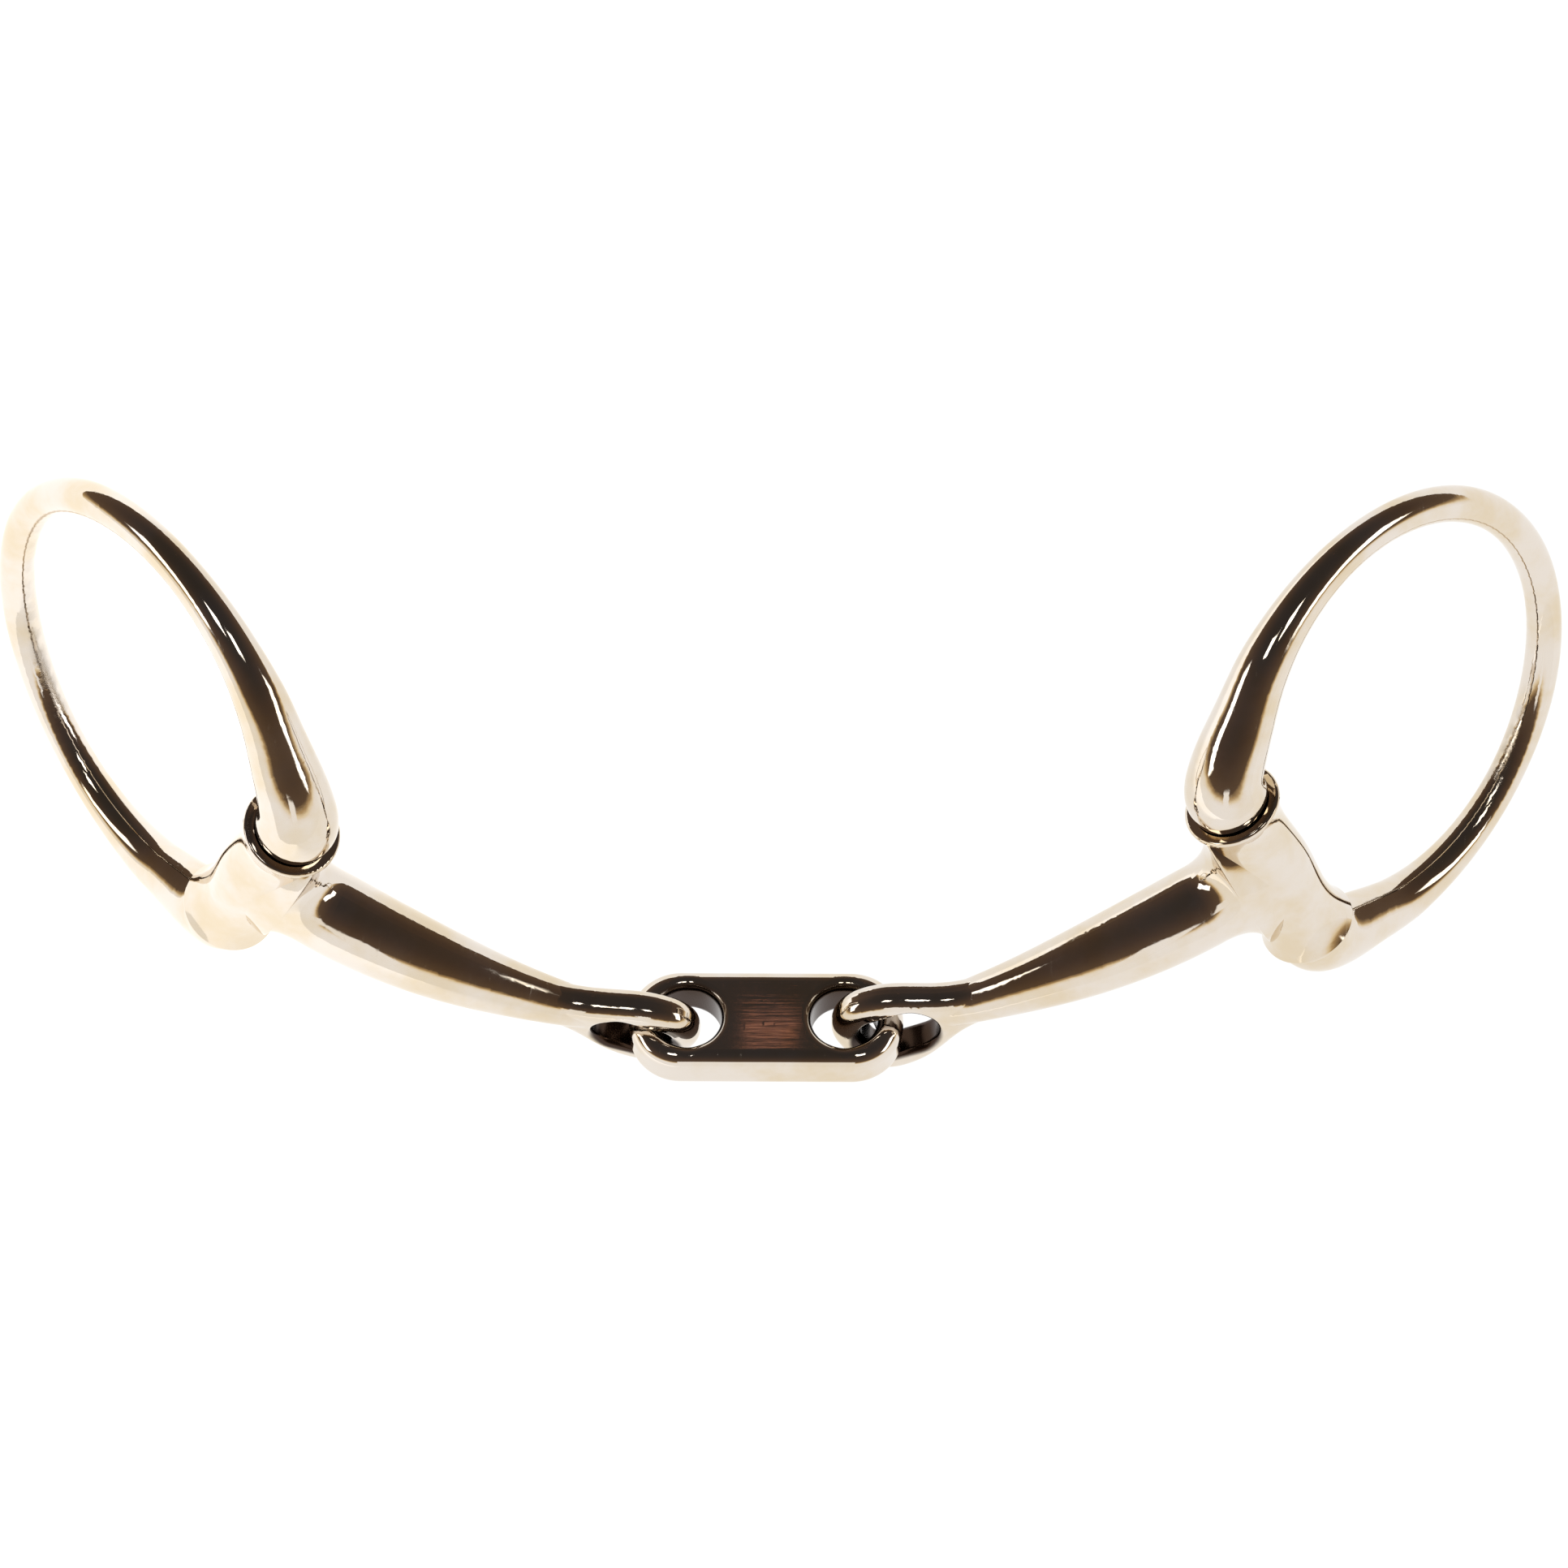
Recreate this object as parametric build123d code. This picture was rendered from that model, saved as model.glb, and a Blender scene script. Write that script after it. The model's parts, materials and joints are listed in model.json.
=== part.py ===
"""Double-jointed eggbutt snaffle bit, built slack in the pose in which it rests on a flat surface.

Frame: millimetres, +Z up, +X along the mouthpiece from the left ring to the right ring, origin under
the middle of the whole bit on the surface it lies on. Each piece is modelled in a frame of its own and
then placed: the link's frame has X along the link and Z square to its flat faces, and an arm's frame has
X along the arm from the tip of its eye and Z along its barrel.
"""
import os
from math import cos, radians, sin, sqrt

from build123d import *

# ------------------------------------------------------------------ overall sizes
MOUTH_SIZE = 139.7          # between the waists of the two barrels with the mouthpiece straight
RING_RADIUS = 31.0          # centreline radius of a cheek ring
BARREL_INSET = 4.2          # how far a barrel's axis lies inside that circle

# ------------------------------------------------------------------ centre link
LINK_LENGTH = 38.3
LINK_WIDTH = 15.2
LINK_THICKNESS = 7.0
LINK_END_RADIUS = 7.3       # plan radius of its corners
LINK_EDGE_ROUND = 2.1       # rounding of the outer edges
HOLE_RADIUS = 4.65
HOLE_RIM_ROUND = 1.3
END_BAR = 3.6               # metal between a hole and the end of the link

# ------------------------------------------------------------------ mouth arms
EYE_BAR_RADIUS = 2.1       # the bar that closes the eye and passes through the link
EYE_HALF_DEPTH = 2.45       # half thickness of the eye's flat loop
EYE_EDGE_ROUND = 2.1
EYE_SIDE_BAR = 3.8          # height of each side bar where the eye is tallest
EYE_SLOT_LENGTH = 10.5
EYE_SLOT_CORNER = 2.4       # of the slot's two corners at the tip
EYE_RIM_ROUND = 0.9
EYE_CORNER = 6.6            # radius of the eye's outer corners
NECK_FROM_SLOT = 7.3        # from the end of the slot to the narrow of the neck
NECK_RADIUS = 3.2
ROOT_FROM_SLOT = 1.2        # where the cannon begins inside the eye
ROOT_TO_NECK = 1.0          # where it has its full size, before the narrow of the neck
STEEPEST_RISE = 26.0        # degrees between an arm and the link that the eye leaves room for
CANNON_RADIUS = 5.8         # where the cannon is thickest, by the barrel
CANNON_BEND = 20.0          # degrees that the cannon curves back between eye and barrel
CANNON_OVAL = 0.02          # how much taller than wide it is
SWELL_SHARES = (0.2, 0.4, 0.6, 0.8, 1.0)            # of the way from neck to flare, a section at each
GUSSET_RADIUS = 5.2         # concave flare between cannon and barrel
GUSSET_TUCK = 0.25          # how far inside the barrel's waist the flare ends
GUSSET_SHARES = (0.3, 0.55, 0.75, 0.9, 0.97)        # of the way along the flare, a section at each

# ------------------------------------------------------------------ barrels and hinge pins
BARREL_LENGTH = 30.4
BARREL_WAIST_RADIUS = 5.75
BARREL_RIM_RADIUS = 6.6
BARREL_LIP = 0.6            # straight part of the lip at each mouth of the barrel
BARREL_LIP_RUN = 3.0        # from the mouth to where the lip has run out into the waist
BARREL_HOLLOW = 0.1         # how much slimmer the middle of the waist is
BARREL_EDGE_ROUND = 0.4
PIN_RADIUS = 2.5
PIN_SOCKET_DEPTH = 5.5      # how deep the pin sits in each of the ring's butts

# ------------------------------------------------------------------ cheek rings
WIRE_RADIUS = 2.45          # the ring's wire opposite the barrel
BUTT_LENGTH = 8.6           # straight rise of each end before it joins the ring's circle
BUTT_FACE_RADIUS = 5.2
BUTT_RADII = (              # (distance from the butt's face, radius): the egg shape and its long taper
    (0.9, 5.45),
    (4.0, 5.15),
    (8.0, 4.7),
    (13.0, 4.15),
    (19.0, 3.6),
    (26.0, 3.05),
    (34.0, 2.65),
    (42.0, WIRE_RADIUS),
)
WIRE_SHARES = (0.34, 0.42, 0.5)     # of the way round the ring, a section of plain wire at each
WIRE_SPACING = 3.0          # the least distance from the end of the taper to the first of them

# ------------------------------------------------------------------ clearances
PIN_FIT = 0.06              # radial running clearance of the pin in the barrel
BUTT_GAP = 0.35             # between a barrel's end and a ring's butt
EYE_FIT = 0.32              # between the link's end bar and the side bar of an eye, at STEEPEST_RISE
TIP_FIT = 0.27              # between that bar and the eye's closing bar, at STEEPEST_RISE
EYE_LIFT = 0.12             # the eye rides this far off centre on the tilted end bar

# ------------------------------------------------------------------ resting pose, degrees
LINK_TILT = 21.4            # the link leans back with the arms
LINK_ROLL = -0.35
#             yaw back, rise, twist about the arm, ring swing back from straight out
LEFT_POSE = (2.1, 25.3, 8.4, 25.1)
RIGHT_POSE = (3.7, 26.5, -5.6, 22.5)

# ------------------------------------------------------------------ worked out
DIAGONAL = sqrt(0.5)        # how far along x and along y an arc has come at 45 degrees, per unit of radius
CLOSE = 0.01                # an edge this near to a place is taken to be there
HOLE_CENTRE = LINK_LENGTH / 2 - END_BAR - HOLE_RADIUS
RISE_COS = cos(radians(STEEPEST_RISE))
RISE_SIN = sin(radians(STEEPEST_RISE))
EYE_SLOT_HALF = LINK_THICKNESS / 2 * RISE_COS + END_BAR / 2 * RISE_SIN + EYE_FIT
EYE_HALF_HEIGHT = EYE_SLOT_HALF + EYE_SIDE_BAR
SLOT_END = EYE_BAR_RADIUS + EYE_SLOT_LENGTH
NECK_STATION = SLOT_END + NECK_FROM_SLOT
TIP_TO_END_BAR = EYE_BAR_RADIUS + LINK_THICKNESS / 2 * RISE_SIN + END_BAR / 2 * RISE_COS + TIP_FIT
END_BAR_STATION = HOLE_RADIUS + END_BAR / 2
TIP_FROM_CENTRE = HOLE_CENTRE + END_BAR_STATION - TIP_TO_END_BAR
ARM_LENGTH = MOUTH_SIZE / 2 - TIP_FROM_CENTRE + BARREL_WAIST_RADIUS
RING_CENTRE = RING_RADIUS - BARREL_INSET
BUTT_FACE = BARREL_LENGTH / 2 + BUTT_GAP
FLARE_START = ARM_LENGTH - BARREL_WAIST_RADIUS - GUSSET_RADIUS


def centre_link():
    """Flat lozenge with a round hole at each end, all edges well rounded."""
    plate = extrude(RectangleRounded(LINK_LENGTH, LINK_WIDTH, LINK_END_RADIUS), LINK_THICKNESS / 2, both=True)
    plate = fillet(plate.faces().filter_by(Axis.Z).edges(), LINK_EDGE_ROUND)
    for side in (-1, 1):
        plate -= Pos(side * HOLE_CENTRE, 0, 0) * Cylinder(HOLE_RADIUS, LINK_THICKNESS * 2)
    rims = plate.edges().filter_by(GeomType.CIRCLE).filter_by(lambda e: abs(e.radius - HOLE_RADIUS) < CLOSE)
    return fillet(rims, HOLE_RIM_ROUND)


def eye_outline():
    """Outline of the eye in the arm's XZ plane: a broad round tip that narrows to the neck."""
    corner_x = EYE_CORNER - EYE_BAR_RADIUS
    tip_half = EYE_HALF_HEIGHT - EYE_CORNER
    reach = DIAGONAL * EYE_CORNER
    top = Spline(
        (NECK_STATION, NECK_RADIUS),
        (corner_x, EYE_HALF_HEIGHT),
        tangents=[(-1, 0), (-1, 0)],
    )
    corner = ThreePointArc(
        (corner_x, EYE_HALF_HEIGHT),
        (corner_x - reach, tip_half + reach),
        (-EYE_BAR_RADIUS, tip_half),
    )
    half = Curve() + [top, corner]
    tip = Line((-EYE_BAR_RADIUS, tip_half), (-EYE_BAR_RADIUS, -tip_half))
    neck = Line((NECK_STATION, -NECK_RADIUS), (NECK_STATION, NECK_RADIUS))
    return make_face(half + tip + mirror(half, Plane.XZ) + neck)


def slot_outline():
    """The slot in the same plane: square-shouldered at the tip, half round towards the neck."""
    near = EYE_BAR_RADIUS
    shoulder = EYE_SLOT_HALF - EYE_SLOT_CORNER
    lift = DIAGONAL * EYE_SLOT_CORNER
    round_x = SLOT_END - EYE_SLOT_HALF
    side = Line((round_x, EYE_SLOT_HALF), (near + EYE_SLOT_CORNER, EYE_SLOT_HALF))
    corner = ThreePointArc(
        (near + EYE_SLOT_CORNER, EYE_SLOT_HALF),
        (near + EYE_SLOT_CORNER - lift, shoulder + lift),
        (near, shoulder),
    )
    half = Curve() + [side, corner]
    end = ThreePointArc((round_x, -EYE_SLOT_HALF), (SLOT_END, 0), (round_x, EYE_SLOT_HALF))
    return make_face(half + Line((near, shoulder), (near, -shoulder)) + mirror(half, Plane.XZ) + end)


def eye():
    """The loop at the inner end of an arm, with its slot for the link's end bar."""
    upright = Plane(origin=(0, 0, 0), x_dir=(1, 0, 0), z_dir=(0, -1, 0))
    loop = extrude(upright * eye_outline(), EYE_HALF_DEPTH, both=True)
    flats = loop.faces().filter_by(Axis.Y).edges()
    loop = fillet(flats.filter_by(lambda e: e.center().X < NECK_STATION - CLOSE), EYE_EDGE_ROUND)
    slot = extrude(upright * slot_outline(), EYE_HALF_DEPTH * 2, both=True)
    loop -= slot
    rims = loop.faces().filter_by(Axis.Y).edges().filter_by(
        lambda e: e.bounding_box().min.X > EYE_BAR_RADIUS - CLOSE and e.bounding_box().max.X < SLOT_END + CLOSE
        and e.bounding_box().max.Z < EYE_SLOT_HALF + CLOSE and e.bounding_box().min.Z > -EYE_SLOT_HALF - CLOSE
    )
    return fillet(rims, EYE_RIM_ROUND)


def cannon_plane(station):
    """Plane across the arm at a distance from the tip: straight to the neck, then on an arc."""
    bend_length = ARM_LENGTH - NECK_STATION
    turned = radians(CANNON_BEND) * max(0.0, station - NECK_STATION) / bend_length
    radius = bend_length / radians(CANNON_BEND)
    x = min(station, NECK_STATION) + radius * sin(turned)
    y = radius * (1 - cos(turned))
    return Plane(origin=(x, y, 0), x_dir=(0, 0, 1), z_dir=(cos(turned), sin(turned), 0))


def cannon():
    """The round tapering bar, from inside the eye's neck to the barrel, with its flare."""
    stations = [
        (SLOT_END + ROOT_FROM_SLOT, EYE_HALF_DEPTH, NECK_RADIUS),
        (NECK_STATION - ROOT_TO_NECK, NECK_RADIUS, NECK_RADIUS + CANNON_OVAL),
    ]
    body = FLARE_START - NECK_STATION
    for share in SWELL_SHARES:
        swell = sin(radians(90) * share)
        radius = NECK_RADIUS + (CANNON_RADIUS - NECK_RADIUS) * swell
        stations.append((NECK_STATION + body * share, radius, radius + CANNON_OVAL))
    bar = loft([cannon_plane(s) * Ellipse(tall, wide) for s, wide, tall in stations])
    flare_sections = [cannon_plane(FLARE_START) * Ellipse(CANNON_RADIUS + CANNON_OVAL, CANNON_RADIUS)]
    for share in GUSSET_SHARES:
        tall = CANNON_RADIUS + GUSSET_RADIUS * (1 - sqrt(1 - share**2))
        wide = CANNON_RADIUS - (CANNON_RADIUS - BARREL_WAIST_RADIUS + GUSSET_TUCK) * share
        flare_sections.append(cannon_plane(FLARE_START + GUSSET_RADIUS * share) * Ellipse(tall, wide))
    flare_sections.append(cannon_plane(ARM_LENGTH) * Ellipse(tall, wide))
    return bar + loft(flare_sections)


def barrel():
    """Waisted sleeve with a lip at each mouth, bored for the pin, about the origin and along Z."""
    half = BARREL_LENGTH / 2
    outline = Line((0, half), (BARREL_RIM_RADIUS, half))
    outline += Line((BARREL_RIM_RADIUS, half), (BARREL_RIM_RADIUS, half - BARREL_LIP))
    outline += Spline(
        (BARREL_RIM_RADIUS, half - BARREL_LIP),
        (BARREL_WAIST_RADIUS, half - BARREL_LIP_RUN),
        (BARREL_WAIST_RADIUS - BARREL_HOLLOW, 0),
        (BARREL_WAIST_RADIUS, -half + BARREL_LIP_RUN),
        (BARREL_RIM_RADIUS, -half + BARREL_LIP),
    )
    outline += Line((BARREL_RIM_RADIUS, -half + BARREL_LIP), (BARREL_RIM_RADIUS, -half))
    outline += Line((BARREL_RIM_RADIUS, -half), (0, -half))
    outline += Line((0, -half), (0, half))
    sleeve = revolve(Plane.XZ * make_face(outline), Axis.Z)
    ends = sleeve.edges().filter_by(GeomType.CIRCLE).filter_by(
        lambda e: abs(e.radius - BARREL_RIM_RADIUS) < CLOSE and abs(abs(e.center().Z) - half) < CLOSE
    )
    return fillet(ends, BARREL_EDGE_ROUND)


def barrel_place():
    """Where the barrel sits in the arm's frame: X outward along the end of the cannon."""
    end = cannon_plane(ARM_LENGTH)
    return Location(Plane(origin=end.origin, x_dir=end.z_dir, z_dir=(0, 0, 1)))


def mouth_arm():
    """One casting: eye, cannon and barrel."""
    blank = eye() + cannon() + barrel_place() * barrel()
    bore = Cylinder(PIN_RADIUS + PIN_FIT, BARREL_LENGTH * 2)
    return blank - barrel_place() * bore


def butt_radius(distance):
    """Radius of the ring's section at a distance along it from the nearer butt face."""
    before = (0.0, BUTT_FACE_RADIUS)
    for point in BUTT_RADII:
        if distance <= point[0]:
            share = (distance - before[0]) / (point[0] - before[0])
            return before[1] + (point[1] - before[1]) * share
        before = point
    return WIRE_RADIUS


def ring_path():
    """Centreline in XZ: straight up off the barrel's axis, round the circle and back below."""
    join_z = BUTT_FACE + BUTT_LENGTH
    join_x = RING_CENTRE - sqrt(RING_RADIUS**2 - join_z**2)
    rise = (join_z, RING_CENTRE - join_x)
    upper = Spline((0, 0, BUTT_FACE), (join_x, 0, join_z), tangents=[(0, 0, 1), (rise[0], 0, rise[1])])
    far = ThreePointArc((join_x, 0, join_z), (RING_CENTRE + RING_RADIUS, 0, 0), (join_x, 0, -join_z))
    lower = Spline((join_x, 0, -join_z), (0, 0, -BUTT_FACE), tangents=[(-rise[0], 0, rise[1]), (0, 0, 1)])
    return Wire([upper, far, lower])


def cheek_ring():
    """Ring of tapering wire that swells into an egg-shaped butt at each end, bored for the pin."""
    path = ring_path()
    length = path.length
    taper = [0.0] + [distance for distance, radius in BUTT_RADII]
    wire = [length * share for share in WIRE_SHARES if length * share > taper[-1] + WIRE_SPACING]
    half = taper + wire
    distances = half + [length - d for d in reversed(half[:-1])]
    sections = []
    for distance in distances:
        here = path.position_at(distance, position_mode=PositionMode.LENGTH)
        along = path.tangent_at(distance, position_mode=PositionMode.LENGTH)
        radius = butt_radius(min(distance, length - distance))
        sections.append(Plane(origin=here, x_dir=(0, 1, 0), z_dir=along) * Circle(radius))
    ring = loft(sections)
    return ring - pin()


def pin():
    """Plain spindle, fast in a blind socket in each butt."""
    return Cylinder(PIN_RADIUS, 2 * (BUTT_FACE + PIN_SOCKET_DEPTH))


def arm_place(pose):
    """An arm's frame in the link's frame, for the right-hand side."""
    yaw, rise, twist, swing = pose
    turn = Rot(0, 0, yaw) * Rot(0, -rise, 0) * Rot(twist, 0, 0)
    end_bar = Pos(HOLE_CENTRE, 0, 0) * Rot(0, 0, yaw) * Pos(END_BAR_STATION, 0, 0)
    return Pos(*end_bar.position) * turn * Pos(-TIP_TO_END_BAR, 0, EYE_LIFT)


def side_pieces(pose):
    """Arm, ring and pin of the right-hand side, in the link's frame."""
    arm_at = arm_place(pose)
    ring_at = arm_at * barrel_place() * Rot(0, 0, pose[3])
    return arm_at * mouth_arm(), ring_at * cheek_ring(), ring_at * pin()


def whole_bit():
    """Every piece by name, standing on Z = 0 with the origin under the middle of the bit."""
    pieces = {"centre_link": centre_link()}
    names = ("arm", "ring", "pin")
    for name, piece in zip(names, side_pieces(RIGHT_POSE)):
        pieces["right_" + name] = piece
    for name, piece in zip(names, side_pieces(LEFT_POSE)):
        pieces["left_" + name] = mirror(piece, Plane.YZ)
    lean = Rot(0, LINK_ROLL, 0) * Rot(-LINK_TILT, 0, 0)
    leaned = {name: lean * piece for name, piece in pieces.items()}
    box = Compound(list(leaned.values())).bounding_box()
    middle = Pos(-box.center().X, -box.center().Y, -box.min.Z)
    return {name: middle * piece for name, piece in leaned.items()}, middle * lean


bit, link_place = whole_bit()
os.makedirs("parts", exist_ok=True)
for node, shape in bit.items():
    export_step(shape, f"parts/{node}.step")
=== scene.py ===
# %% [markdown]
# # A snaffle bit in polished bronze
# A snaffle is the plain bit of a horse's bridle. This one is double-jointed: two curved arms meet at a flat
# link that lies on the tongue, and an egg-butt ring swings on a pin in the barrel at the end of each arm.
#
# The real bit is cast in a gold-coloured bronze, ground, and then buffed on soft wheels until it mirrors
# the room. That decides the whole scene. A mirror has no colour pattern of its own, so most of its look is
# the studio around it, and the rest is the small marks that buffing leaves behind. The script builds those
# two things in turn: first what the metal sees, then what the metal is.

# %% Load the frame
import json
import math

import bpy
from mathutils import Matrix, Vector


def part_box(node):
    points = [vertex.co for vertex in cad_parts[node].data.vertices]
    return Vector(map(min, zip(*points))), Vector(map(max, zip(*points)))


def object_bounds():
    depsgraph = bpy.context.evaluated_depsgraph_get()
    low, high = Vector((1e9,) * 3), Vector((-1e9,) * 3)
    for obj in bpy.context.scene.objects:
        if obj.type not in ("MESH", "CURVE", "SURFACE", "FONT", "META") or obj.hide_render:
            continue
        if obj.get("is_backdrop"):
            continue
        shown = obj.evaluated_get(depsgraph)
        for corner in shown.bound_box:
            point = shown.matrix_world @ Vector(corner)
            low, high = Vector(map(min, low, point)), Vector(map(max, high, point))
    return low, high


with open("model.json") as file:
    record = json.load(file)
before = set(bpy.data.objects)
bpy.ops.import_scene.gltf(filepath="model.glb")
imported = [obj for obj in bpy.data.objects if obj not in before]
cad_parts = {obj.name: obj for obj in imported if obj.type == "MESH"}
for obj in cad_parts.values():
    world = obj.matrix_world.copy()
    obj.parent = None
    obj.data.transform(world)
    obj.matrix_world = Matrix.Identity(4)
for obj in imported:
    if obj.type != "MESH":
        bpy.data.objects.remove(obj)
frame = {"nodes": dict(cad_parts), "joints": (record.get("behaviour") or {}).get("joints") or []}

cad_low, cad_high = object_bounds()
nodes = frame["nodes"]
joints = {joint["name"]: joint for joint in frame["joints"]}
print("pieces", sorted(nodes))
print("bit measures", [round(size * 1000, 1) for size in cad_high - cad_low], "mm")

# %% [markdown]
# ## Landmarks
# Every finish below is placed by where things are on the bit: the holes of the link, the slots of the eyes,
# the hinge of each ring. The joints already say where those are, so the script asks them instead of keeping
# a second set of numbers that could drift apart from the model.

# %% A joint's place and axis


def joint_line(name):
    """A joint's place and its axis, as vectors in metres."""
    return Vector(joints[name]["pos_m"]), Vector(joints[name]["axis"]).normalized()


print("left fold at", [round(c * 1000, 1) for c in joint_line("left_arm_fold")[0]], "mm")

# %% Find the holes, slots and rings
EYE_TURN = -6.7             # degrees from the line between hole and barrel to the way the eye points
SLOT_OUT = 0.0046           # from a hole's centre, out to where the straight part of the slot starts
SLOT_DOWN = 0.0028          # and down, because the eye hangs under the link's end bar

landmarks = {}
for side in ("left", "right"):
    hole, link_normal = joint_line(f"{side}_arm_fold")
    barrel, barrel_axis = joint_line(f"{side}_ring_swing")
    along = Matrix.Rotation(math.radians(EYE_TURN), 3, barrel_axis) @ (barrel - hole).normalized()
    upward = barrel_axis * math.copysign(1.0, barrel_axis.z)
    ring_low, ring_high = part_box(f"{side}_ring")
    ring_middle = (ring_low + ring_high) / 2
    landmarks[side] = {
        "hole": hole,
        "link_normal": link_normal,
        "barrel_axis": barrel_axis,
        "along": along,
        "slot": hole + along * SLOT_OUT - upward * SLOT_DOWN,
        "slot_axis": along.cross(barrel_axis).normalized(),
        "ring_middle": ring_middle,
        "outward": (ring_middle - barrel).normalized(),
    }
    print(side, "hole to barrel", round((barrel - hole).length * 1000, 1), "mm")

# %% [markdown]
# ## Building with nodes
# A procedural material is a small sum written in boxes. Most of the boxes are the same few, so each gets a
# helper of one line's use: feed a socket, do arithmetic, ramp smoothly between two values, make noise, mix
# two colours. With them a whole finish reads like a recipe.

# %% Feed a socket


def feed(tree, value, socket):
    """Join a socket to another, or set it to a value."""
    if isinstance(value, bpy.types.NodeSocket):
        tree.links.new(value, socket)
    else:
        socket.default_value = value


def feed_by_name(tree, node, values):
    """Feed several of a node's inputs."""
    for label, value in values.items():
        feed(tree, value, node.inputs[label])


print("feed takes a socket or a value")

# %% Arithmetic on numbers and on directions


def arithmetic(tree, operation, *values):
    """One Math node."""
    node = tree.nodes.new("ShaderNodeMath")
    node.operation = operation
    for value, socket in zip(values, node.inputs):
        feed(tree, value, socket)
    return node.outputs[0]


def vector_math(tree, operation, *values, result="Vector"):
    """One Vector Math node."""
    node = tree.nodes.new("ShaderNodeVectorMath")
    node.operation = operation
    for value, socket in zip(values, node.inputs):
        feed(tree, value, socket)
    return node.outputs[result]


def stretched(tree, direction, factor):
    """A direction times a number."""
    node = tree.nodes.new("ShaderNodeVectorMath")
    node.operation = "SCALE"
    feed_by_name(tree, node, {"Vector": direction, "Scale": factor})
    return node.outputs["Vector"]


print("three arithmetic helpers")

# %% Ramps, noise and mixes
MIX_FIRST, MIX_SECOND, MIX_RESULT = 6, 7, 2     # a Mix node's colour sockets share their names with others


def smooth_step(tree, value, start, end, low=0.0, high=1.0):
    """Goes smoothly from low to high while value goes from start to end."""
    node = tree.nodes.new("ShaderNodeMapRange")
    node.interpolation_type = "SMOOTHSTEP"
    feed_by_name(tree, node, {
        "Value": value, "From Min": start, "From Max": end, "To Min": low, "To Max": high,
    })
    return node.outputs["Result"]


def noise(tree, position, scale, detail=2.0, roughness=0.5):
    """A noise texture's value, from 0 to 1."""
    node = tree.nodes.new("ShaderNodeTexNoise")
    feed_by_name(tree, node, {"Vector": position, "Scale": scale, "Detail": detail, "Roughness": roughness})
    return node.outputs["Fac"]


def blend(tree, share, first, second):
    """Mixes two colours."""
    node = tree.nodes.new("ShaderNodeMix")
    node.data_type = "RGBA"
    feed(tree, share, node.inputs["Factor"])
    feed(tree, first, node.inputs[MIX_FIRST])
    feed(tree, second, node.inputs[MIX_SECOND])
    return node.outputs[MIX_RESULT]


def object_position(tree):
    """Where a point is on its own object."""
    return tree.nodes.new("ShaderNodeTexCoord").outputs["Object"]


def split(tree, direction):
    """A direction's three numbers, by the names X, Y and Z."""
    node = tree.nodes.new("ShaderNodeSeparateXYZ")
    tree.links.new(direction, node.inputs[0])
    return node.outputs


print("ramp, noise and mix ready")

# %% [markdown]
# ## The studio
# Polished metal is photographed in a tent: white below and low around the sides, so that the edges of each
# piece stay bright against the background, and dark overhead, so that the middle of every round bar goes
# deep brown and looks solid. The table is white paper that glows a little, and more so at its left end,
# where the lamp stands closest.

# %% White paper for the table
ROOM_RADIUS = 3.0
LEFT_GLOW, MIDDLE_GLOW = 1.30, 1.03     # the paper at its left end, and from the middle on
GLOW_FROM, GLOW_TO = -0.10, -0.01       # where across the table the glow falls off, in metres


def glowing(name, strength=1.0, color=(1.0, 0.99, 0.97, 1.0)):
    """A material that only gives light, and its emission node."""
    material = bpy.data.materials.new(name)
    material.use_nodes = True
    tree = material.node_tree
    tree.nodes.clear()
    light = tree.nodes.new("ShaderNodeEmission")
    output = tree.nodes.new("ShaderNodeOutputMaterial")
    light.inputs["Color"].default_value = color
    light.inputs["Strength"].default_value = strength
    tree.links.new(light.outputs[0], output.inputs["Surface"])
    return material, light


bpy.ops.mesh.primitive_circle_add(vertices=64, radius=ROOM_RADIUS, fill_type="NGON")
table = bpy.context.object
table.name = "light_table"
paper, paper_light = glowing("white_paper", color=(1.0, 0.995, 0.985, 1.0))
tree = paper.node_tree
across = split(tree, object_position(tree))["X"]
glow = smooth_step(tree, across, GLOW_FROM, GLOW_TO, LEFT_GLOW, MIDDLE_GLOW)
tree.links.new(glow, paper_light.inputs["Strength"])
table.data.materials.append(paper)
table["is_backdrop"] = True
print("table of", ROOM_RADIUS * 2, "m")

# %% [markdown]
# The tent is a dome whose glow depends only on height. Its white wall is low, and above that comes a golden
# band, where light spills on unpainted wood, which gives the bronze its thin gold outlines. The tent leans
# back, so its white wall is higher in front of the bit than behind it. That is why the near side of every
# bar is bright and its far side is dark almost to the edge.

# %% Leaning tent
TENT_LEAN = math.radians(22)
BANDS = (                   # (sine of the height on the leaning tent, its colour there)
    (0.00, (1.00, 0.99, 0.97)),
    (0.08, (0.97, 0.93, 0.88)),
    (0.14, (0.88, 0.76, 0.54)),
    (0.19, (0.50, 0.35, 0.18)),
    (0.27, (0.120, 0.078, 0.050)),
    (0.60, (0.072, 0.048, 0.037)),
    (0.85, (0.042, 0.034, 0.031)),
    (1.00, (0.034, 0.029, 0.028)),
)

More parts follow.
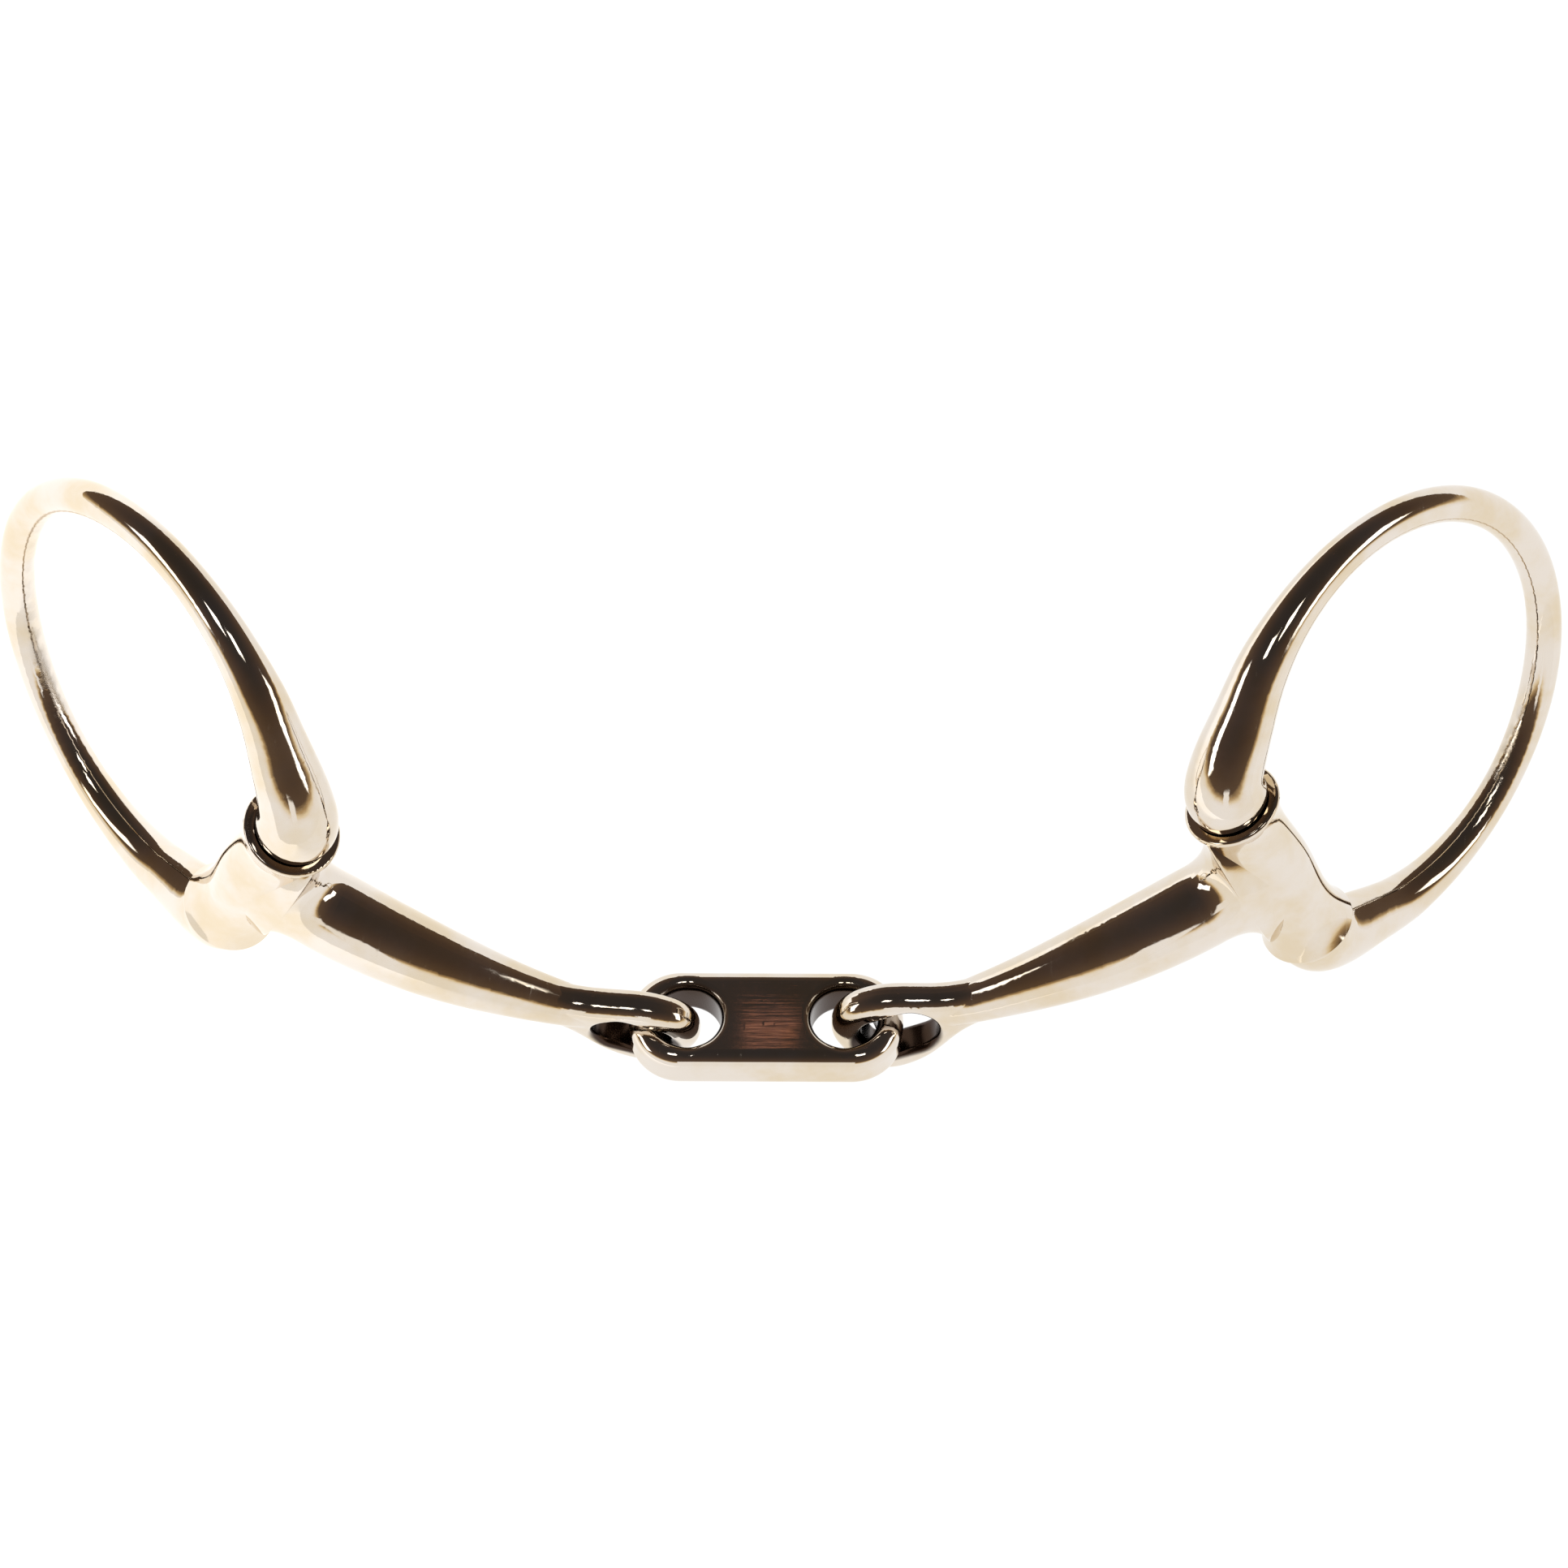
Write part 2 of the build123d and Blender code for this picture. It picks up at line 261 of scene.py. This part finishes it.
bpy.ops.mesh.primitive_uv_sphere_add(segments=96, ring_count=48, radius=ROOM_RADIUS)
tent = bpy.context.object
tent.name = "tent"
for polygon in tent.data.polygons:
    polygon.use_smooth = True
cloth, cloth_light = glowing("tent_cloth")
tree = cloth.node_tree
tent_up = (0.0, math.sin(TENT_LEAN), math.cos(TENT_LEAN))
direction = vector_math(tree, "NORMALIZE", object_position(tree))
ramp = tree.nodes.new("ShaderNodeValToRGB")
tree.links.new(vector_math(tree, "DOT_PRODUCT", direction, tent_up, result="Value"), ramp.inputs["Fac"])
while len(ramp.color_ramp.elements) < len(BANDS):
    ramp.color_ramp.elements.new(0.5)
for element, (sine, color) in zip(ramp.color_ramp.elements, BANDS):
    element.position = sine
    element.color = (*color, 1.0)
tree.links.new(ramp.outputs["Color"], cloth_light.inputs["Color"])
tent.data.materials.append(cloth)
tent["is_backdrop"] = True
print("tent with", len(BANDS), "bands")

# %% The room outside the tent
world = bpy.data.worlds.new("outside")
bpy.context.scene.world = world
world.use_nodes = True
world.node_tree.nodes["Background"].inputs["Color"].default_value = (0.03, 0.025, 0.02, 1.0)
print("dark outside")

# %% [markdown]
# ## Softboxes
# The white streaks on the ring wires and the bright patches on the eyes are reflections of lamps. A softbox
# is a white cloth in a frame, so each one here is a flat panel that glows evenly and fades at its rim. A
# round wire squeezes a panel's image to a line, and a panel with a dark gap under it gives a streak with a
# thin brown line beside it, which is how the eye knows that the wire is round.

# %% A panel that fades at its rim
PANEL_DISTANCE = 2.2
RIM_START = 0.72            # share of the panel's half width where the fade begins


def rim_fade(tree, width, height):
    """1 in the middle of a panel, 0 at its rim."""
    place = split(tree, object_position(tree))
    fade = 1.0
    for socket, half in ((place["X"], width / 2), (place["Y"], height / 2)):
        inside = smooth_step(tree, arithmetic(tree, "ABSOLUTE", socket), half * RIM_START, half, 1.0, 0.0)
        fade = arithmetic(tree, "MULTIPLY", inside, fade)
    return fade


def hang_panel(name, toward, width, height, glow, color=(1.0, 0.985, 0.96, 1.0)):
    """A glowing rectangle in the given direction, which faces the bit."""
    bpy.ops.mesh.primitive_plane_add(size=1.0)
    panel = bpy.context.object
    panel.name = name
    panel.data.transform(Matrix.Diagonal((width, height, 1.0, 1.0)))
    spin = toward.to_track_quat("Z", "Y").to_matrix().to_4x4()
    panel.matrix_world = Matrix.Translation(toward * PANEL_DISTANCE) @ spin
    material, light = glowing(name, glow, color)
    tree = material.node_tree
    clear = tree.nodes.new("ShaderNodeBsdfTransparent")
    mix = tree.nodes.new("ShaderNodeMixShader")
    tree.links.new(rim_fade(tree, width, height), mix.inputs["Fac"])
    tree.links.new(clear.outputs[0], mix.inputs[1])
    tree.links.new(light.outputs[0], mix.inputs[2])
    tree.links.new(mix.outputs[0], tree.nodes["Material Output"].inputs["Surface"])
    panel.data.materials.append(material)
    panel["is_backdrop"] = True
    return panel


print("panels hang", PANEL_DISTANCE, "m away")

# %% Hang the softboxes


def heading(side, rise):
    """The direction at so many degrees to the right of front and above the floor."""
    turned, raised = math.radians(side), math.radians(rise)
    flat = math.cos(raised)
    return Vector((math.sin(turned) * flat, -math.cos(turned) * flat, math.sin(raised)))


PANELS = (                  # (name, degrees to the right of front, degrees up, width, height, glow)
    ("left_softbox", -88, 30, 1.5, 0.56, 2.4),
    ("right_softbox", 88, 30, 1.5, 0.56, 2.4),
    ("left_window", -105, 79, 0.46, 0.44, 3.0),
    ("right_window", 105, 79, 0.46, 0.44, 3.0),
    ("front_sheet", 0, 29, 0.62, 1.05, 1.0),
)

for name, side, rise, width, height, glow in PANELS:
    hang_panel(name, heading(side, rise), width, height, glow)
print(len(PANELS), "panels")

# %% [markdown]
# ## Where we look from
# The bit lies slack on the table and the camera looks down at it from the front, steeply, with a moderately
# long lens. The camera is held square to the link, which leans back, so the link's long edges come out
# level. From here the link shows its flat top and its front, and each ring is seen aslant.

# %% Directions on the leaning link
LINK_TILT = 21.4            # degrees that the link leans back from flat
LINK_ROLL = -0.35           # degrees about Y, which lifts its right end a hair

link_low, link_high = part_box("centre_link")
link_middle = (link_low + link_high) / 2
rolled = Matrix.Rotation(math.radians(LINK_ROLL), 3, "Y")
lean = rolled @ Matrix.Rotation(math.radians(-LINK_TILT), 3, "X")
link_up = lean @ Vector((0.0, 0.0, 1.0))
print("link faces", [round(c, 3) for c in link_up])

# %% Camera
CAMERA_SIDE = 0.302         # these two are degrees in the link's own directions
CAMERA_RISE = 55.955
CAMERA_DISTANCE = 0.4618
CAMERA_LENS = 74.5          # millimetres
SENSOR_WIDTH = 36           # millimetres
NEAREST_SEEN = 0.01
AIM_FROM_LINK = Vector((0.002317, 0.032401, 0.012918))      # in the link's own directions

back = lean @ heading(CAMERA_SIDE, CAMERA_RISE)
right = link_up.cross(back).normalized()
turn = Matrix((right, back.cross(right), back)).transposed()
target = link_middle + lean @ AIM_FROM_LINK

camera = bpy.data.objects.new("camera", bpy.data.cameras.new("camera"))
bpy.context.scene.collection.objects.link(camera)
bpy.context.scene.camera = camera
camera.data.lens = CAMERA_LENS
camera.data.sensor_width = SENSOR_WIDTH
camera.data.clip_start = NEAREST_SEEN
camera.matrix_world = Matrix.Translation(target + back * CAMERA_DISTANCE) @ turn.to_4x4()
print("camera", [round(c, 3) for c in camera.matrix_world.translation])

# %% [markdown]
# ## One red lamp
# The link's top is nearly flat, so it mirrors only a small part of the dark tent, and would be a blank. In
# the real one a thin reddish line lies across it: some warm lamp far behind. A flat mirror makes this easy
# to place, because the line of sight to a point on the link, reflected, leads straight to the lamp.

# %% Hang the red lamp
LINE_ON_LINK = Vector((0.0004, -0.0026, 0.0035))    # the middle of the line, from the link's middle
LAMP_COLOR = (1.0, 0.42, 0.26, 1.0)
LAMP_WIDTH, LAMP_HEIGHT, LAMP_GLOW = 0.050, 0.0080, 0.80

line_middle = link_middle + lean @ LINE_ON_LINK
sight = (line_middle - camera.matrix_world.translation).normalized()
lamp_place = line_middle + sight.reflect(link_up) * PANEL_DISTANCE
hang_panel("red_lamp", lamp_place.normalized(), LAMP_WIDTH, LAMP_HEIGHT, LAMP_GLOW, LAMP_COLOR)
print("red lamp at", [round(c, 2) for c in lamp_place])

# %% [markdown]
# ## What buffing leaves behind
# Look closely at polished metal and a few things show. The wheel leaves fine lines along the bar. The hand
# that held the bar to the wheel leaves shallow waves, which make the edge of every reflection wander. Skin
# and air leave a faint haze in patches. And the wheel can't reach into holes, so those stay rough, and their
# walls are darkened with painted shade. Each of these is a node group of its own, so that each piece of the
# bit can have them in its own measure.

# %% An empty group for marks
FLOAT, VECTOR, COLOR = "NodeSocketFloat", "NodeSocketVector", "NodeSocketColor"


def marks_group(name, inputs, outputs):
    """A shader node group with named sockets, and its input and output nodes."""
    tree = bpy.data.node_groups.new(name, "ShaderNodeTree")
    for label, kind, value in inputs:
        socket = tree.interface.new_socket(label, in_out="INPUT", socket_type=kind)
        socket.default_value = value
    for label, kind in outputs:
        tree.interface.new_socket(label, in_out="OUTPUT", socket_type=kind)
    return tree, tree.nodes.new("NodeGroupInput").outputs, tree.nodes.new("NodeGroupOutput").inputs


print("groups take", FLOAT, VECTOR, COLOR)

# %% Buffing lines


def make_buffing_lines():
    """Fine lines along a direction, and a few stray scratches across it."""
    tree, given, made = marks_group(
        "buffing_lines",
        [("Position", VECTOR, (0, 0, 0)), ("Along", VECTOR, (1, 0, 0)), ("Lines per Metre", FLOAT, 2600.0),
         ("Stretch", FLOAT, 60.0)],
        [("Height", FLOAT), ("Scratches", FLOAT)],
    )
    reach = vector_math(tree, "DOT_PRODUCT", given["Position"], given["Along"], result="Value")
    across = vector_math(tree, "SUBTRACT", given["Position"], stretched(tree, given["Along"], reach))
    short_reach = arithmetic(tree, "DIVIDE", reach, given["Stretch"])
    lined = vector_math(tree, "ADD", across, stretched(tree, given["Along"], short_reach))
    tree.links.new(noise(tree, lined, given["Lines per Metre"], 3.0, 0.6), made["Height"])
    turn = tree.nodes.new("ShaderNodeMapping")
    feed_by_name(tree, turn, {
        "Vector": given["Position"], "Rotation": (0.5, 0.3, 0.6), "Scale": (1.0, 0.03, 1.0),
    })
    stray_scale = arithmetic(tree, "MULTIPLY", given["Lines per Metre"], 0.6)
    stray = noise(tree, turn.outputs["Vector"], stray_scale, 1.0)
    tree.links.new(smooth_step(tree, stray, 0.66, 0.74), made["Scratches"])
    return tree


marks = {"lines": make_buffing_lines()}
print("made", marks["lines"].name)

# %% [markdown]
# Waves, haze and tone are all slow noise. What sets them apart is their size and what they feed: the waves
# tilt the surface, the haze roughens it, and the tone drifts between the alloy's pale and its gold.

# %% Waves, haze and tone


def patches(tree, given, detail, roughness=0.5):
    """Noise with patches of the group's own Patch Size."""
    scale = arithmetic(tree, "DIVIDE", 1.0, given["Patch Size"])
    return noise(tree, given["Position"], scale, detail, roughness)


def make_wheel_waves():
    """Shallow waves from hand polishing, as a height from 0 to 1."""
    sockets = [("Position", VECTOR, (0, 0, 0)), ("Patch Size", FLOAT, 0.009)]
    tree, given, made = marks_group("wheel_waves", sockets, [("Height", FLOAT)])
    tree.links.new(patches(tree, given, 1.0), made["Height"])
    return tree


def make_haze():
    """Patches of haze from handling, as extra roughness."""
    sockets = [("Position", VECTOR, (0, 0, 0)), ("Patch Size", FLOAT, 0.006), ("Amount", FLOAT, 0.06)]
    tree, given, made = marks_group("handling_haze", sockets, [("Roughness", FLOAT)])
    haze = smooth_step(tree, patches(tree, given, 4.0, 0.62), 0.44, 0.70)
    tree.links.new(arithmetic(tree, "MULTIPLY", haze, given["Amount"]), made["Roughness"])
    return tree


def make_tone():
    """The alloy's colour, paler in some places and more golden in others."""
    sockets = [("Position", VECTOR, (0, 0, 0)), ("Pale", COLOR, (0.8, 0.7, 0.6, 1)),
               ("Gold", COLOR, (0.7, 0.6, 0.4, 1)), ("Patch Size", FLOAT, 0.011)]
    tree, given, made = marks_group("alloy_tone", sockets, [("Color", COLOR)])
    drift = smooth_step(tree, patches(tree, given, 4.0, 0.58), 0.36, 0.68)
    tree.links.new(blend(tree, drift, given["Pale"], given["Gold"]), made["Color"])
    return tree


marks.update(waves=make_wheel_waves(), haze=make_haze(), tone=make_tone())
print("groups so far", len(marks))

# %% [markdown]
# The wheel is far bigger than a hole, so a hole's wall stays rough, and its colour is darkened as painted shade.
# The group measures how far a point is from the line through the hole's middle, or through a slot's, and is 1
# on the wall and 0 outside the rim.

# %% Unpolished recess, darkened with painted shade


def make_recess_shade():
    """How deep inside a hole or slot a point lies."""
    tree, given, made = marks_group(
        "unpolished_recess_shade",
        [("Position", VECTOR, (0, 0, 0)), ("Start", VECTOR, (0, 0, 0)), ("Along", VECTOR, (1, 0, 0)),
         ("Length", FLOAT, 0.0), ("Axis", VECTOR, (0, 0, 1)), ("Radius", FLOAT, 0.005), ("Fade", FLOAT, 0.0008)],
        [("Mask", FLOAT)],
    )
    offset = vector_math(tree, "SUBTRACT", given["Position"], given["Start"])
    run = vector_math(tree, "DOT_PRODUCT", offset, given["Along"], result="Value")
    held = arithmetic(tree, "MINIMUM", arithmetic(tree, "MAXIMUM", run, 0.0), given["Length"])
    height = vector_math(tree, "DOT_PRODUCT", offset, given["Axis"], result="Value")
    flat = vector_math(tree, "SUBTRACT", offset, stretched(tree, given["Along"], held))
    flat = vector_math(tree, "SUBTRACT", flat, stretched(tree, given["Axis"], height))
    distance = vector_math(tree, "LENGTH", flat, result="Value")
    rim = arithmetic(tree, "ADD", given["Radius"], given["Fade"])
    tree.links.new(smooth_step(tree, distance, given["Radius"], rim, 1.0, 0.0), made["Mask"])
    return tree


marks["recess"] = make_recess_shade()
print("made", marks["recess"].name)

# %% [markdown]
# The inside of a ring, far from the barrel, is buffed last and least, and keeps a grainy cast skin. The
# grain's height is multiplied by the mask, so that the metal around it stays as smooth as before.

# %% Cast skin


def make_cast_skin():
    """The grainy skin of the casting, on the inner side of a ring's wire."""
    tree, given, made = marks_group(
        "cast_skin",
        [("Position", VECTOR, (0, 0, 0)), ("Middle", VECTOR, (0, 0, 0)), ("Inner Radius", FLOAT, 0.0296),
         ("Toward", VECTOR, (1, 0, 0)), ("Grain Size", FLOAT, 0.0005), ("Patch Size", FLOAT, 0.0024)],
        [("Height", FLOAT), ("Mask", FLOAT)],
    )
    offset = vector_math(tree, "SUBTRACT", given["Position"], given["Middle"])
    distance = vector_math(tree, "LENGTH", offset, result="Value")
    fade = arithmetic(tree, "ADD", given["Inner Radius"], 0.0012)
    inner = smooth_step(tree, distance, given["Inner Radius"], fade, 1.0, 0.0)
    reach = vector_math(tree, "DOT_PRODUCT", offset, given["Toward"], result="Value")
    far_side = smooth_step(tree, reach, 0.006, 0.020)
    worn = smooth_step(tree, patches(tree, given, 2.0), 0.36, 0.56)
    mask = arithmetic(tree, "MULTIPLY", arithmetic(tree, "MULTIPLY", inner, far_side), worn)
    grain = noise(tree, given["Position"], arithmetic(tree, "DIVIDE", 1.0, given["Grain Size"]), 3.0, 0.7)
    tree.links.new(mask, made["Mask"])
    tree.links.new(arithmetic(tree, "MULTIPLY", grain, mask), made["Height"])
    return tree


marks["skin"] = make_cast_skin()
print("groups", sorted(group.name for group in marks.values()))

# %% [markdown]
# ## The bronze
# Freshly buffed, the alloy is pale: it mirrors white as warm cream, and only looks golden where it mirrors
# something that is already dim. So its colour is a pale one, and the depth comes from the dark of the tent.
# The shader is fully metallic and nearly smooth, and the marks only nudge its roughness, colour and slope.

# %% Use a group, and raise the surface


def use_marks(tree, kind, position, **settings):
    """Puts one of the mark groups into a material."""
    node = tree.nodes.new("ShaderNodeGroup")
    node.node_tree = marks[kind]
    tree.links.new(position, node.inputs["Position"])
    feed_by_name(tree, node, {label.replace("_", " "): value for label, value in settings.items()})
    return node.outputs


def raised(tree, height, depth, normal=None):
    """A Bump node that raises the surface by depth metres, on top of another one."""
    node = tree.nodes.new("ShaderNodeBump")
    node.inputs["Distance"].default_value = depth
    tree.links.new(height, node.inputs["Height"])
    if normal:
        tree.links.new(normal, node.inputs["Normal"])
    return node.outputs["Normal"]


print("marks can be used in a material")

# %% Buffed bronze
PALE_BRONZE = (0.79, 0.72, 0.645, 1.0)
GOLD_BRONZE = (0.74, 0.625, 0.46, 1.0)
# a dark brown: painted shade on the walls of holes and slots, and the darkening of the cast skin
TARNISH_AND_SHADE = (0.060, 0.040, 0.032, 1.0)
POLISH_ROUGHNESS = 0.035
SCRATCH_ROUGHNESS = 0.09
RECESS_ROUGHNESS = 0.18
SKIN_ROUGHNESS = 0.30
SKIN_DARKNESS = 0.4         # share of tarnish in the cast skin's colour
LINE_DEPTH = 0.0000022
GRAIN_DEPTH = 0.00008


def bronze(name, along, recesses=(), skin=None, haze=0.05, waves=0.000012):
    """Buffed bronze for one piece, with painted shade in its own recesses, and its cast skin."""
    material = bpy.data.materials.new(name)
    material.use_nodes = True
    tree = material.node_tree
    position = object_position(tree)
    color = use_marks(tree, "tone", position, Pale=PALE_BRONZE, Gold=GOLD_BRONZE)["Color"]
    lines = use_marks(tree, "lines", position, Along=along)
    hazed = use_marks(tree, "haze", position, Amount=haze)["Roughness"]
    roughness = arithmetic(tree, "ADD", hazed, POLISH_ROUGHNESS)
    roughness = arithmetic(tree, "MULTIPLY_ADD", lines["Scratches"], SCRATCH_ROUGHNESS, roughness)
    normal = raised(tree, use_marks(tree, "waves", position)["Height"], waves)
    normal = raised(tree, lines["Height"], LINE_DEPTH, normal)
    for place in recesses:
        deep = use_marks(tree, "recess", position, **place)["Mask"]
        # painted shade: the walls of the holes and slots are darkened to a dark brown
        color = blend(tree, deep, color, TARNISH_AND_SHADE)
        roughness = arithmetic(tree, "MULTIPLY_ADD", deep, RECESS_ROUGHNESS, roughness)
    if skin:
        grain = use_marks(tree, "skin", position, **skin)
        normal = raised(tree, grain["Height"], GRAIN_DEPTH, normal)
        roughness = arithmetic(tree, "MULTIPLY_ADD", grain["Mask"], SKIN_ROUGHNESS, roughness)
        color = blend(tree, arithmetic(tree, "MULTIPLY", grain["Mask"], SKIN_DARKNESS), color, TARNISH_AND_SHADE)
    shader = tree.nodes["Principled BSDF"]
    feed_by_name(tree, shader, {"Metallic": 1.0, "Base Color": color, "Roughness": roughness, "Normal": normal})
    return material


def dress(name, material):
    """Gives a CAD piece its one finished material."""
    mesh = nodes[name].data
    mesh.materials.clear()
    mesh.materials.append(material)
    print(name, "wears", material.name)


# %% Dress the link
HOLE_WALL_RADIUS = 0.0048
LINK_HAZE, LINK_WAVES = 0.02, 0.000006          # the flat link is buffed the most evenly
X_AXIS = Vector((1.0, 0.0, 0.0))

holes = [
    {"Start": found["hole"], "Axis": found["link_normal"], "Radius": HOLE_WALL_RADIUS}
    for found in landmarks.values()
]
link_bronze = bronze("link_bronze", X_AXIS, holes, haze=LINK_HAZE, waves=LINK_WAVES)
dress("centre_link", link_bronze)

# %% Dress the arms
SLOT_WALL_RADIUS = 0.0043
SLOT_LENGTH = 0.0037        # straight part of the slot

for side, found in landmarks.items():
    slot = {
        "Start": found["slot"], "Along": found["along"], "Length": SLOT_LENGTH,
        "Axis": found["slot_axis"], "Radius": SLOT_WALL_RADIUS,
    }
    dress(f"{side}_arm", bronze(f"{side}_arm_bronze", found["along"], [slot]))

# %% Dress the rings
RING_HAZE = 0.045

for side, found in landmarks.items():
    inner_skin = {"Middle": found["ring_middle"], "Toward": found["outward"]}
    ring_bronze = bronze(f"{side}_ring_bronze", found["barrel_axis"], skin=inner_skin, haze=RING_HAZE)
    dress(f"{side}_ring", ring_bronze)

# %% [markdown]
# ## The hinge pins
# The pins are the only steel in the bit. They are ground, not buffed, because nobody sees them: only a hair
# of each shows between the barrel and the butts. Grinding goes round the pin, so its fine lines do too.

# %% Ground steel
GRINDING_LINES = 5200.0     # per metre of pin
GRINDING_DEPTH = 0.000004
DARK_STEEL = (0.50, 0.50, 0.51, 1.0)
LIGHT_STEEL = (0.60, 0.59, 0.58, 1.0)


def ground_steel(name, axis):
    """Dull steel with lines round the pin."""
    material = bpy.data.materials.new(name)
    material.use_nodes = True
    tree = material.node_tree
    reach = vector_math(tree, "DOT_PRODUCT", object_position(tree), axis, result="Value")
    rings = noise(tree, arithmetic(tree, "MULTIPLY", reach, GRINDING_LINES), 1.0)
    feed_by_name(tree, tree.nodes["Principled BSDF"], {
        "Metallic": 1.0,
        "Base Color": blend(tree, rings, DARK_STEEL, LIGHT_STEEL),
        "Roughness": smooth_step(tree, rings, 0.2, 0.8, 0.26, 0.40),
        "Normal": raised(tree, rings, GRINDING_DEPTH),
    })
    return material


for side, found in landmarks.items():
    dress(f"{side}_pin", ground_steel(f"{side}_pin_steel", found["barrel_axis"]))

# %% [markdown]
# ## Finish
# Nothing was added to the bit or taken away from it, so its box after all this is the box it came with. The
# script measures both boxes and prints whether they match.

# %% Compare the boxes and finish
bpy.context.scene.view_settings.view_transform = "Standard"
new_low, new_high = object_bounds()
moved = (new_high - cad_high).length + (new_low - cad_low).length
print("box unchanged", moved < 1e-6)
